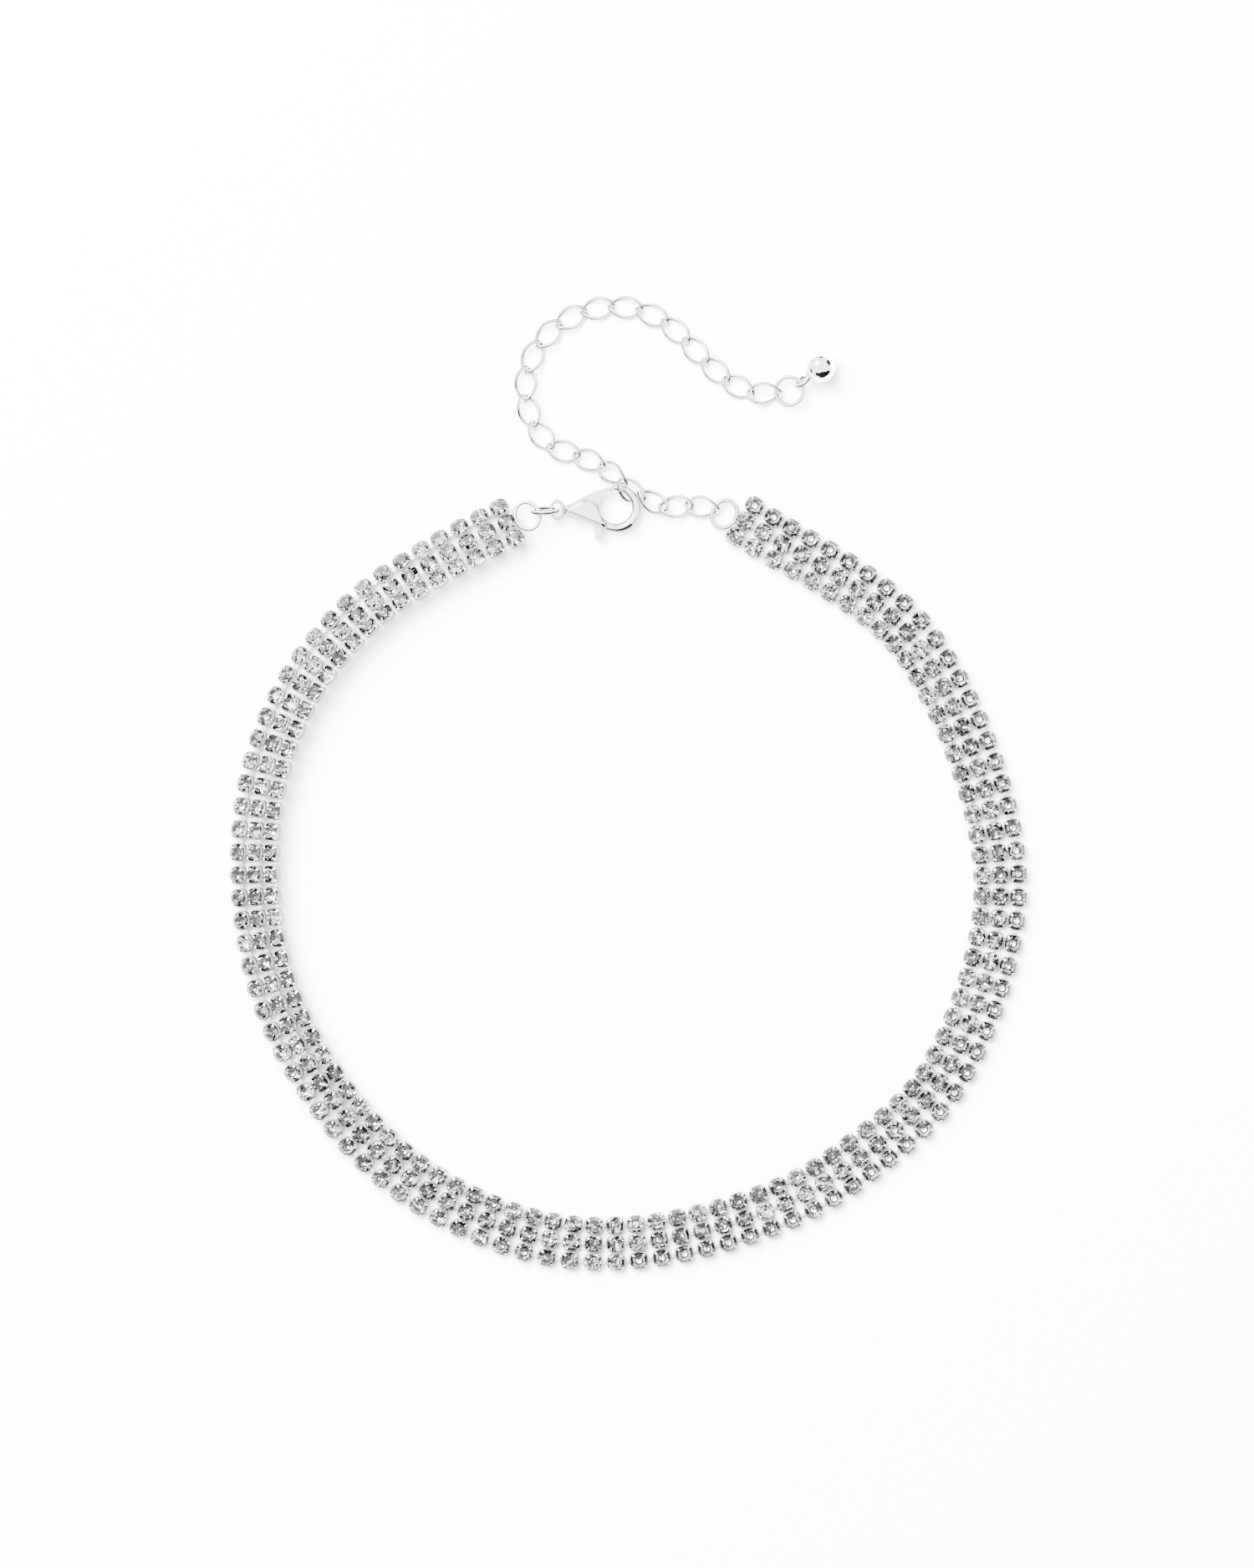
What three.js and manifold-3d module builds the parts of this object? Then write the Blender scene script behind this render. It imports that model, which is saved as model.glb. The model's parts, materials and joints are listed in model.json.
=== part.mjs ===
import * as THREE from "three";
import { mergeVertices } from "three/addons/utils/BufferGeometryUtils.js";
import Module from "manifold-3d";

// Choker necklace with a lobster clasp, an extension chain and a ball drop, lying closed on a table.
// Millimetres, +Z up. Directions on the table: +X right, +Y towards the extension chain's loop.

const wasm = await Module();
wasm.setup();

// Band: bars of three claw cups with a round stone each, side by side in one loop
const loopRadius = 52.3;
const columnCount = 96;
const rowCount = 3;
const cupWidth = 2.58;
const cupHeight = 1.35;
const crownHeight = 0.6;
const tableShare = 0.56;
const barHeight = 0.55;
const halvesGap = 0.15;
const leftEndReach = 17.15;
const closureOverlap = 2.04;

// Round rings soldered to the band's ends
const endRingLength = 4.0;
const endRingWidth = 4.7;
const endRingWire = 0.6;
const endRingLift = 0.95;
const solderBite = 0.3;
const rightRingSlide = -0.7;
const leftRingSlide = -0.4;

// Jump ring on edge between the left end ring and the clasp
const jumpRingOuter = 4.15;
const jumpRingWire = 0.55;
const jumpRingLean = 14.2;
const jumpRingTurn = 3;
const jumpRingNose = 1;
const jumpRingHeading = -1;
const jumpRingSlide = -0.05;
const ringGap = 0.2;

// Clasp, drawn about the centre of its round opening, with the eyelet towards -X
const claspTurn = 5;
const claspReach = 6.95;
const claspThickness = 2.6;
const claspBevel = 0.6;
const openingRadius = 2.36;
const hookWidth = 0.99;
const hookRadius = openingRadius + hookWidth;
const hookOffset = { x: 0.25, y: -0.22 };
const hookThickness = 1.15;
const hookBevel = 0.3;
const hookRootLap = 1.33;
const seamAngle = 97;
const seamGap = 0.1;
const seamLap = 12;
const gateNose = 5;
const gateSectorFrom = -8;
const gateSectorTo = 75;
const hubFrom = 115;
const hubTo = 235;
const gateRoot = 168;
const eyeletLength = 2.35;
const eyeletWidth = 3.0;
const eyeletWire = 0.5;
const eyeletBite = 0.2725;
const eyeletRise = 0.3;
const pinRadius = 0.35;
const hubRadius = 1.0;
const leverThickness = 0.9;
const leverClearance = 0.15;
const triggerWidth = 0.9;

// Outlines of the clasp: x is a share of claspReach and y a share of hookRadius
const pivotPlace = { x: -0.62, y: 0.09 };
const triggerTip = { x: -0.396, y: -1.24 };
const bodyTop = [
  { x: -1.05, y: -0.1 },
  { x: -1.05, y: 0.2 },
  { x: -0.86, y: 0.33 },
  { x: -0.7, y: 0.5 },
  { x: -0.58, y: 0.5 },
  { x: -0.42, y: 0.34 },
  { x: -0.3, y: 0.1 },
];
const bodyBottom = [
  { x: -0.2, y: -0.6 },
  { x: -0.225, y: -0.875 },
  { x: -0.37, y: -0.81 },
  { x: -0.51, y: -0.645 },
  { x: -0.76, y: -0.375 },
];
const gateTop = [
  { x: -0.43, y: 0.71 },
  { x: -0.66, y: 0.53 },
];
const leverBack = [
  { x: -0.52, y: -0.42 },
  { x: -0.462, y: -0.75 },
];
const leverFront = [
  { x: -0.325, y: -0.78 },
  { x: -0.35, y: -0.45 },
  { x: -0.372, y: -0.08 },
];

const hookRoot = { x: bodyBottom[0].x * claspReach, y: bodyBottom[0].y * hookRadius };
const hookRootAngle = 360 + THREE.MathUtils.radToDeg(Math.atan2(hookRoot.y, hookRoot.x)) - hookRootLap;
const bodyTail = Math.max(...bodyTop.map(({ x }) => -x)) * claspReach;
const eyeletReach = bodyTail + eyeletLength / 2 - eyeletBite;

// Extension chain of twisted oval curb links
const linkLength = 5.2;
const linkWidth = 3.35;
const linkWire = 0.5;
const linkTwist = 45;
const linkGap = 0.15;
const linkSegments = 10;
const wireSides = 5;

// The band's middle line, clockwise from the top as seen from above. Angle and roll are in degrees,
// and reach is a share of loopRadius. A rolled bar stands on its outer edge, its inner edge raised.
// The two ends lie rightEndReach and leftEndReach to the sides of the loop's centre, as far apart
// as the closure's pieces in a row reach, less what they lie inside each other.
const ringsReach = 2 * endRingLength + jumpRingOuter + eyeletLength;
const closureReach = ringsReach + eyeletReach + openingRadius + 2 * linkLength;
const rightEndReach = closureReach - closureOverlap - leftEndReach;
const degreesOf = THREE.MathUtils.radToDeg;
const endAngle = (sideways, reach) => degreesOf(Math.asin(sideways / (loopRadius * reach)));
const rightEnd = endAngle(rightEndReach, 1.012);
const leftEnd = 360 - endAngle(leftEndReach, 1.007);
const bandRoute = [
  { angle: rightEnd, reach: 1.012, roll: 0 },
  { angle: rightEnd + 3.1, reach: 1.0, roll: 0 },
  { angle: 50, reach: 1.0, roll: 0 },
  { angle: 90, reach: 1.0, roll: 0 },
  { angle: 122, reach: 1.002, roll: 0 },
  { angle: 140, reach: 0.979, roll: 0 },
  { angle: 155, reach: 0.973, roll: 0 },
  { angle: 178, reach: 0.983, roll: 0 },
  { angle: 196, reach: 1.001, roll: 0 },
  { angle: 218, reach: 1.003, roll: 4 },
  { angle: 240, reach: 0.996, roll: 15 },
  { angle: 258, reach: 1.0, roll: 23 },
  { angle: 280, reach: 1.011, roll: 25 },
  { angle: 298, reach: 1.021, roll: 25 },
  { angle: 315, reach: 1.011, roll: 24 },
  { angle: leftEnd - 10, reach: 0.995, roll: 20 },
  { angle: leftEnd, reach: 1.007, roll: 15 },
];

// Links that lie tilted around the hook, chosen by hand: their middles from the clasp opening's
// centre as shares of linkLength, and their heading, nose and lean in degrees. The hook passes
// through the fourth. hookLinkReach is the same share, from a middle to the next link's start.
const hookLinks = [
  { x: 2.3558, y: -0.0019, z: 0.1923, heading: 170, nose: -2.3, lean: -20 },
  { x: 1.6385, y: 0.0173, z: 0.1615, heading: 183.1, nose: -2.3, lean: 2.9 },
  { x: 0.9981, y: 0.1692, z: 0.1846, heading: 146.9, nose: 5.9, lean: 21.8 },
  { x: 0.4231, y: 0.4231, z: 0.2519, heading: 136.7, nose: 17.9, lean: -1 },
  { x: -0.0654, y: 0.8923, z: 0.2288, heading: 145.5, nose: -6.2, lean: -33.9 },
  { x: -0.7096, y: 1.2692, z: 0.1692, heading: 157.7, nose: -7, lean: -15.9 },
];
const hookLinkReach = 0.3654;
const endLean = 20;

// The free tail's route, chosen by hand, from the clasp opening's centre in shares of linkLength
const tailRoute = [
  [-1.7692, 1.6346],
  [-2.3846, 2.5769],
  [-2.4231, 3.7115],
  [-1.8462, 4.7308],
  [-0.7885, 5.3462],
  [0.3846, 5.4423],
  [1.4231, 5],
  [2.5192, 3.8846],
  [3.3846, 3.1923],
  [4.0192, 3.0192],
  [4.4231, 3.0962],
];

// Round ring and polished ball at the tail's end
const dropRingOuter = 4.5;
const dropRingWire = 0.55;
const dropRingRest = 0.97;
const dropRingHold = 0.41;
const dropRingTilt = 7.5;
const ballDiameter = 4.4;
const ballTurn = 37;
const ballLoopOuter = 2.6;
const ballLoopWire = 0.5;
const ballLoopLean = 27;
const ballLoopSink = 0.25;
const ballLoopShift = -0.3;
const ballLoopLift = 0.25;
const ringSegments = 12;
const ringSides = 6;

const up = new THREE.Vector3(0, 0, 1);
const radians = THREE.MathUtils.degToRad;

const silver = () =>
  new THREE.MeshStandardMaterial({ color: 0xf1f1ee, roughness: 0.12, metalness: 1 });
const crystal = () =>
  new THREE.MeshStandardMaterial({ color: 0xe6eaec, roughness: 0.08, metalness: 0.4 });

function node(name, geometry, material) {
  const mesh = new THREE.Mesh(geometry, material);
  mesh.name = name;
  return mesh;
}

// A geometry from loose triangles, its equal corners joined
function joined(positions) {
  const geometry = new THREE.BufferGeometry();
  geometry.setAttribute("position", new THREE.Float32BufferAttribute(positions, 3));
  return mergeVertices(geometry);
}

function solid(geometry) {
  const plain = geometry.clone();
  plain.deleteAttribute("normal");
  plain.deleteAttribute("uv");
  const merged = mergeVertices(plain);
  const vertProperties = new Float32Array(merged.attributes.position.array);
  const triVerts = new Uint32Array(merged.index.array);
  return new wasm.Manifold(new wasm.Mesh({ numProp: 3, vertProperties, triVerts }));
}

function geometryOf(body) {
  const mesh = body.getMesh();
  const geometry = new THREE.BufferGeometry();
  geometry.setAttribute("position", new THREE.Float32BufferAttribute(mesh.vertProperties, 3));
  geometry.setIndex(Array.from(mesh.triVerts));
  return geometry;
}

// A wire bent into a closed loop along path(t), t from 0 to 2 pi, whose flat side faces faceUp(t)
function closedWire(path, faceUp, wire, segments, sides) {
  const corners = [];
  const step = 1e-4;
  for (let i = 0; i < segments; i += 1) {
    const t = (i / segments) * 2 * Math.PI;
    const centre = path(t);
    const along = path(t + step).sub(path(t - step)).normalize();
    const side = new THREE.Vector3().crossVectors(faceUp(t), along).normalize();
    const top = new THREE.Vector3().crossVectors(along, side);
    for (let j = 0; j < sides; j += 1) {
      const turn = (j / sides) * 2 * Math.PI;
      corners.push(
        centre
          .clone()
          .addScaledVector(side, (Math.cos(turn) * wire) / 2)
          .addScaledVector(top, (Math.sin(turn) * wire) / 2),
      );
    }
  }
  const index = [];
  for (let i = 0; i < segments; i += 1) {
    for (let j = 0; j < sides; j += 1) {
      const a = i * sides + j;
      const b = i * sides + ((j + 1) % sides);
      const c = ((i + 1) % segments) * sides + j;
      const d = ((i + 1) % segments) * sides + ((j + 1) % sides);
      index.push(a, b, c, b, d, c);
    }
  }
  const geometry = new THREE.BufferGeometry().setFromPoints(corners);
  geometry.setIndex(index);
  return geometry;
}

// A flat oval ring about the origin, in the XY plane
function ringGeometry(length, width, wire) {
  const a = (length - wire) / 2;
  const b = (width - wire) / 2;
  const path = (t) => new THREE.Vector3(a * Math.cos(t), b * Math.sin(t), 0);
  return closedWire(path, () => up, wire, ringSegments, ringSides);
}

// A curb link about the origin, its length along X, its two ends turned opposite ways
function linkGeometry() {
  const a = (linkLength - linkWire) / 2;
  const b = (linkWidth - linkWire) / 2;
  const twistAt = (t) => radians(linkTwist) * Math.cos(t);
  const path = (t) => {
    const twist = twistAt(t);
    const across = b * Math.sin(t);
    return new THREE.Vector3(a * Math.cos(t), across * Math.cos(twist), across * Math.sin(twist));
  };
  const face = (t) => new THREE.Vector3(0, -Math.sin(twistAt(t)), Math.cos(twistAt(t)));
  return closedWire(path, face, linkWire, linkSegments, wireSides);
}

// The matrix that puts a piece's X axis along a direction on the table, leaned and turned about it
function placed(origin, heading, lean = 0, nose = 0) {
  const matrix = new THREE.Matrix4().makeTranslation(origin.x, origin.y, origin.z);
  matrix.multiply(new THREE.Matrix4().makeRotationZ(heading));
  matrix.multiply(new THREE.Matrix4().makeRotationY(-nose));
  return matrix.multiply(new THREE.Matrix4().makeRotationX(lean));
}

// Sets a geometry down so that its lowest point is on the table
function setDown(geometry) {
  geometry.computeBoundingBox();
  return geometry.translate(0, 0, -geometry.boundingBox.min.z);
}

// Band

function bandCurve() {
  const points = bandRoute.map(({ angle, reach }) => {
    const turn = radians(angle);
    return new THREE.Vector3(Math.sin(turn), Math.cos(turn), 0).multiplyScalar(loopRadius * reach);
  });
  const curve = new THREE.CatmullRomCurve3(points);
  curve.arcLengthDivisions = 1200;
  return curve;
}

function rollAt(point) {
  const angle = (THREE.MathUtils.radToDeg(Math.atan2(point.x, point.y)) + 360) % 360;
  const next = bandRoute.findIndex((row) => row.angle > angle);
  if (next < 1) {
    return radians(bandRoute[next < 0 ? bandRoute.length - 1 : 0].roll);
  }
  const before = bandRoute[next - 1];
  const after = bandRoute[next];
  const share = (angle - before.angle) / (after.angle - before.angle);
  return radians(THREE.MathUtils.lerp(before.roll, after.roll, share));
}

// One matrix for each bar: X along the band, Y outwards, Z out of the stones' tables
function bandFrames() {
  const curve = bandCurve();
  const frames = [];
  for (let i = 0; i < columnCount; i += 1) {
    const share = i / (columnCount - 1);
    const point = curve.getPointAt(share);
    const along = curve.getTangentAt(share).setZ(0).normalize();
    const outwards = new THREE.Vector3().crossVectors(up, along);
    const roll = rollAt(point);
    const across = outwards.clone().multiplyScalar(Math.cos(roll)).addScaledVector(up, -Math.sin(roll));
    const out = new THREE.Vector3().crossVectors(along, across);
    const frame = new THREE.Matrix4().makeBasis(along, across, out);
    const lift = ((rowCount * cupWidth) / 2) * Math.sin(roll);
    frames.push(frame.setPosition(point.x, point.y, lift));
  }
  return frames;
}

const octagonSides = 8;
const flat = cupWidth / 2;
const facetHalf = flat * Math.tan(Math.PI / octagonSides);
const rowCentre = (row) => (row - (rowCount - 1) / 2) * cupWidth;

// Corners of a cup's octagon, anticlockwise, from the lower end of its +X side
function cupCorners(row, z) {
  const y = rowCentre(row);
  const f = facetHalf;
  const flats = [
    [flat, -f], [flat, f], [f, flat], [-f, flat], [-flat, f], [-flat, -f], [-f, -flat], [f, -flat],
  ];
  return flats.map(([dx, dy]) => new THREE.Vector3(dx, y + dy, z));
}

// The small link's end on a cup: two corners on the bottom edge and the ridge
function barEnd(row, x) {
  const y = rowCentre(row);
  return [
    new THREE.Vector3(x, y - facetHalf, 0),
    new THREE.Vector3(x, y + facetHalf, 0),
    new THREE.Vector3(x, y, barHeight),
  ];
}

// Half of the band. frames are its bars, next is the other half's first bar, where this half's
// last links point, or null where it has none
function bandHalf(frames, next) {
  const positions = [];
  const emit = (frame, ...triangles) => {
    for (const corner of triangles.flat()) {
      positions.push(...corner.clone().applyMatrix4(frame).toArray());
    }
  };
  const cup = (frame, row, linkedBefore, linkedAfter) => {
    const base = cupCorners(row, 0);
    const rim = cupCorners(row, cupHeight);
    for (let i = 1; i < octagonSides - 1; i += 1) {
      emit(frame, [base[0], base[i + 1], base[i]]);
    }
    for (let i = 0; i < octagonSides; i += 1) {
      const j = (i + 1) % octagonSides;
      const soldered = (i === 2 && row < rowCount - 1) || (i === 6 && row > 0);
      const linked = (i === 0 && linkedAfter) || (i === 4 && linkedBefore);
      if (linked) {
        const ridge = barEnd(row, base[i].x)[2];
        emit(frame, [base[i], ridge, rim[i]], [ridge, rim[j], rim[i]], [ridge, base[j], rim[j]]);
      } else if (!soldered) {
        emit(frame, [base[i], base[j], rim[j]], [base[i], rim[j], rim[i]]);
      }
    }
    const table = [0, 2, 4, 6].map((i) => {
      const corner = rim[i].clone().lerp(rim[(i + 1) % octagonSides], 0.5);
      corner.sub(new THREE.Vector3(0, rowCentre(row), 0)).multiplyScalar(tableShare);
      return corner.add(new THREE.Vector3(0, rowCentre(row), 0)).setZ(cupHeight + crownHeight);
    });
    for (let k = 0; k < table.length; k += 1) {
      const i = 2 * k;
      const before = table[(k + table.length - 1) % table.length];
      const after = (i + 1) % octagonSides;
      emit(frame, [rim[i], rim[after], table[k]]);
      emit(frame, [before, rim[(i + 7) % octagonSides], rim[i]], [before, rim[i], table[k]]);
    }
    emit(frame, [table[0], table[1], table[2]], [table[0], table[2], table[3]]);
  };
  const bar = (frame, other, row, reach) => {
    const [a, b, ridge] = barEnd(row, flat).map((corner) => corner.applyMatrix4(frame));
    const ends = barEnd(row, -flat).map((corner) => corner.applyMatrix4(other));
    const shorten = (from, to) => from.clone().lerp(to, reach(from, to));
    const [c, d, farRidge] = [a, b, ridge].map((corner, i) => shorten(corner, ends[i]));
    const world = new THREE.Matrix4();
    emit(world, [a, b, d], [a, d, c], [b, ridge, farRidge], [b, farRidge, d]);
    emit(world, [ridge, a, c], [ridge, c, farRidge]);
    return [c, d, farRidge];
  };
  frames.forEach((frame, i) => {
    const last = i === frames.length - 1;
    for (let row = 0; row < rowCount; row += 1) {
      cup(frame, row, i > 0, !last || next !== null);
      if (!last) {
        bar(frame, frames[i + 1], row, () => 1);
      } else if (next !== null) {
        const reach = (from, to) => 1 - halvesGap / from.distanceTo(to);
        const [c, d, ridge] = bar(frame, next, row, reach);
        emit(new THREE.Matrix4(), [c, d, ridge]);
      }
    }
  });
  return joined(positions);
}

// A band half with the end ring soldered to its last cup. way is -1 at the bar's -X side, 1 at +X
function withEndRing(half, frame, way, slide) {
  const reach = way * (flat + endRingLength / 2 - solderBite);
  const ring = ringGeometry(endRingLength, endRingWidth, endRingWire);
  ring.translate(reach, slide, endRingLift).applyMatrix4(frame);
  return geometryOf(solid(half).add(solid(ring)));
}

// Where the end ring's far side is, at the middle of its wire
function farWire(frame, way, slide) {
  const reach = way * (flat + endRingLength - solderBite - endRingWire / 2);
  return new THREE.Vector3(reach, slide, endRingLift).applyMatrix4(frame);
}

const frames = bandFrames();
const middle = columnCount / 2;
const firstHalf = frames.slice(0, middle);
const secondHalf = frames.slice(middle);
const rightFrame = frames[0];
const leftFrame = frames[columnCount - 1];

// Jump ring on edge, around the left end ring's wire and the clasp's eyelet

const endWireLeft = farWire(leftFrame, 1, leftRingSlide);
const jumpRadius = (jumpRingOuter - jumpRingWire) / 2;
const jumpHeight = jumpRadius * Math.cos(radians(jumpRingLean)) + jumpRingWire / 2;

// How far from a standing ring's centre a wire lies that rests against its inside at another height
function restInside(ringRadius, ringWire, wire, drop) {
  const room = ringRadius - (ringWire + wire) / 2 - ringGap;
  return Math.sqrt(room ** 2 - drop ** 2);
}

const jumpHeading = new THREE.Vector3(1, 0, 0).applyAxisAngle(up, radians(jumpRingHeading));
const toEndWire = restInside(jumpRadius, jumpRingWire, endRingWire, jumpHeight - endWireLeft.z);
const jumpCentre = endWireLeft.clone().addScaledVector(jumpHeading, toEndWire).setZ(jumpHeight);
const jumpRing = ringGeometry(jumpRingOuter, jumpRingOuter, jumpRingWire);
const jumpUpright = Math.PI / 2 + radians(jumpRingLean);
jumpRing.applyMatrix4(placed(jumpCentre, radians(jumpRingTurn), jumpUpright, radians(jumpRingNose)));
jumpRing.translate(0, jumpRingSlide, 0);

// Clasp

const claspHeight = claspThickness / 2;
const toEyelet = restInside(jumpRadius, jumpRingWire, eyeletWire, jumpHeight - claspHeight);
const eyeletWireAt = jumpCentre.clone().addScaledVector(jumpHeading, toEyelet).setZ(claspHeight);
const eyeletWireLocal = new THREE.Vector3(-eyeletReach - (eyeletLength - eyeletWire) / 2, eyeletRise, 0);
const claspCentre = eyeletWireAt.clone().sub(eyeletWireLocal.applyAxisAngle(up, radians(claspTurn)));
const claspFrame = placed(claspCentre, radians(claspTurn));

const onClasp = ({ x, y }) => new THREE.Vector2(x * claspReach, y * hookRadius);
const pivot = onClasp(pivotPlace);
const seamRadius = (openingRadius + hookRadius) / 2;
const seam = new THREE.Vector2(
  seamRadius * Math.cos(radians(seamAngle)),
  seamRadius * Math.sin(radians(seamAngle)),
);
const gateReach = pivot.distanceTo(seam);

// A plate centred on the clasp's middle plane, its edges bevelled within its outline
function plate(shape, thickness, bevel, curveSegments = 6) {
  const geometry = new THREE.ExtrudeGeometry(shape, {
    depth: thickness - 2 * bevel,
    bevelEnabled: bevel > 0,
    bevelThickness: bevel,
    bevelSize: bevel,
    bevelOffset: -bevel,
    bevelSegments: 1,
    curveSegments,
  });
  return solid(geometry.translate(0, 0, bevel - thickness / 2));
}

function disc(centre, radius, thickness, segments) {
  const geometry = new THREE.CylinderGeometry(radius, radius, thickness, segments);
  return solid(geometry.rotateX(Math.PI / 2).translate(centre.x, centre.y, 0));
}

// All that lies within reach of the pivot on the gate's side
function gateSector(reach) {
  const shape = new THREE.Shape();
  shape.moveTo(pivot.x, pivot.y);
  shape.absarc(pivot.x, pivot.y, reach, radians(gateSectorFrom), radians(gateSectorTo));
  return plate(shape, 2 * claspThickness, 0, 8);
}

function hookArm() {
  const shape = new THREE.Shape();
  const tip = radians(seamAngle + seamLap);
  const root = radians(hookRootAngle - 360);
  shape.absarc(hookOffset.x, hookOffset.y, hookRadius, root, tip);
  shape.absarc(0, 0, openingRadius, tip, root, true);
  return plate(shape, hookThickness, hookBevel, 8).subtract(gateSector(gateReach + seamGap));
}

function slot() {
  const back = pivot.x - hubRadius - 2 * leverClearance;
  const side = leverFront.map(onClasp).map((point) => new THREE.Vector2(point.x + leverClearance, point.y));
  const far = 2 * hookRadius;
  const shape = new THREE.Shape([
    new THREE.Vector2(back, -far),
    new THREE.Vector2(side[0].x, -far),
    side[0],
    side[1],
    new THREE.Vector2(openingRadius, side[1].y),
    new THREE.Vector2(openingRadius, far),
    new THREE.Vector2(back, far),
  ]);
  return plate(shape, leverThickness + 2 * leverClearance, 0);
}

function claspBody() {
  const outline = new THREE.Shape([...bodyTop, ...bodyBottom].map(onClasp));
  const opening = disc(new THREE.Vector2(), openingRadius, 2 * claspThickness, 24);
  const cheeks = plate(outline, claspThickness, claspBevel).subtract(opening).subtract(slot());
  const pin = disc(pivot, pinRadius, claspThickness - claspBevel, 8);
  const eyelet = ringGeometry(eyeletLength, eyeletWidth, eyeletWire);
  eyelet.translate(-eyeletReach, eyeletRise, 0);
  return geometryOf(cheeks.add(pin).add(hookArm()).add(solid(eyelet)));
}

function claspLever() {
  const tip = onClasp(triggerTip);
  const shape = new THREE.Shape();
  const inner = radians(seamAngle - seamLap);
  const outer = radians(seamAngle - gateNose);
  shape.moveTo(hookRadius * Math.cos(outer) + hookOffset.x, hookRadius * Math.sin(outer) + hookOffset.y);
  for (const point of gateTop.map(onClasp)) {
    shape.lineTo(point.x, point.y);
  }
  shape.absarc(pivot.x, pivot.y, hubRadius, radians(hubFrom), radians(hubTo));
  for (const point of leverBack.map(onClasp)) {
    shape.lineTo(point.x, point.y);
  }
  shape.absarc(tip.x, tip.y + triggerWidth / 2, triggerWidth / 2, Math.PI, 2 * Math.PI);
  for (const point of leverFront.map(onClasp)) {
    shape.lineTo(point.x, point.y);
  }
  shape.absarc(0, 0, openingRadius, radians(gateRoot), inner, true);
  const blank = plate(shape, leverThickness, 0, 4);
  const within = disc(pivot, gateReach, claspThickness, 64);
  const beyond = disc(pivot, 2 * gateReach, claspThickness, 64).subtract(within);
  const bore = disc(pivot, pinRadius + leverClearance, claspThickness, 10);
  return geometryOf(blank.subtract(beyond).subtract(bore));
}

// Extension chain

const tautPitch = linkLength - 2 * linkWire - linkGap;
const fromClasp = ([x, y]) =>
  new THREE.Vector3(x, y, 0).multiplyScalar(linkLength).add(claspCentre).setZ(0);

// Evenly spaced joint points along a route
const jointsAlong = (curve, count) => (count > 0 ? curve.getSpacedPoints(count) : []);

function curbLink(from, to, lean = 0) {
  const heading = Math.atan2(to.y - from.y, to.x - from.x);
  const middle = from.clone().lerp(to, 0.5);
  return setDown(linkGeometry().applyMatrix4(placed(middle, heading, radians(lean))));
}

function tiltedLink({ x, y, z, heading, nose, lean }) {
  const middle = fromClasp([x, y]).setZ(z * linkLength);
  const frame = placed(middle, radians(heading), radians(lean), radians(nose));
  return linkGeometry().applyMatrix4(frame);
}

function hookLinkEnd({ x, y, heading }, way) {
  const turn = radians(heading);
  const reach = way * hookLinkReach;
  return fromClasp([x + reach * Math.cos(turn), y + reach * Math.sin(turn)]);
}

const chainStart = farWire(rightFrame, -1, rightRingSlide).setZ(0);
const leadCurve = new THREE.LineCurve3(chainStart, hookLinkEnd(hookLinks[0], -1));
const lead = jointsAlong(leadCurve, Math.round(leadCurve.getLength() / tautPitch));
const tailStart = hookLinkEnd(hookLinks[hookLinks.length - 1], 1);
const tailCurve = new THREE.CatmullRomCurve3([tailStart, ...tailRoute.map(fromClasp)]);
const tail = jointsAlong(tailCurve, Math.ceil(tailCurve.getLength() / tautPitch));
const links = hookLinks.map(tiltedLink);
for (let i = lead.length - 2; i >= 0; i -= 1) {
  links.unshift(curbLink(lead[i], lead[i + 1]));
}
for (let i = 0; i < tail.length - 1; i += 1) {
  const beforeEnd = tail.length - 2 - i;
  links.push(curbLink(tail[i], tail[i + 1], Math.max(0, 1 - beforeEnd / 2) * endLean));
}

// Ring and ball at the tail's end

const chainEnd = tail[tail.length - 1];
const endHeading = tailCurve.getTangentAt(1).setZ(0).normalize();
const dropRadius = (dropRingOuter - dropRingWire) / 2;
const dropCentre = chainEnd.clone().addScaledVector(endHeading, dropRadius - dropRingHold);
dropCentre.setZ(dropRingRest + dropRadius * Math.sin(radians(dropRingTilt)));
const dropAngle = Math.atan2(endHeading.y, endHeading.x);
const dropRing = ringGeometry(dropRingOuter, dropRingOuter, dropRingWire);
dropRing.applyMatrix4(placed(dropCentre, dropAngle, 0, radians(dropRingTilt)));

function ballDrop() {
  const towards = new THREE.Vector3(1, 0, 0).applyAxisAngle(up, radians(ballTurn));
  const smallRadius = (ballLoopOuter - ballLoopWire) / 2;
  const loopHeight = smallRadius * Math.cos(radians(ballLoopLean)) + ballLoopWire / 2 + ballLoopLift;
  const crossing = dropCentre.clone().addScaledVector(towards, dropRadius);
  const loopCentre = crossing.addScaledVector(towards, -ballLoopShift).setZ(loopHeight);
  const loop = ringGeometry(ballLoopOuter, ballLoopOuter, ballLoopWire);
  loop.applyMatrix4(placed(loopCentre, radians(ballTurn), Math.PI / 2 + radians(ballLoopLean)));
  const radius = ballDiameter / 2;
  const rise = radius - loopHeight;
  const apart = radius + ballLoopOuter / 2 - ballLoopSink;
  const ballCentre = loopCentre.clone().addScaledVector(towards, Math.sqrt(apart ** 2 - rise ** 2));
  const ball = new THREE.SphereGeometry(radius, 12, 8).rotateX(Math.PI / 2);
  ball.translate(ballCentre.x, ballCentre.y, radius);
  return geometryOf(solid(ball).add(solid(loop)));
}

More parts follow.
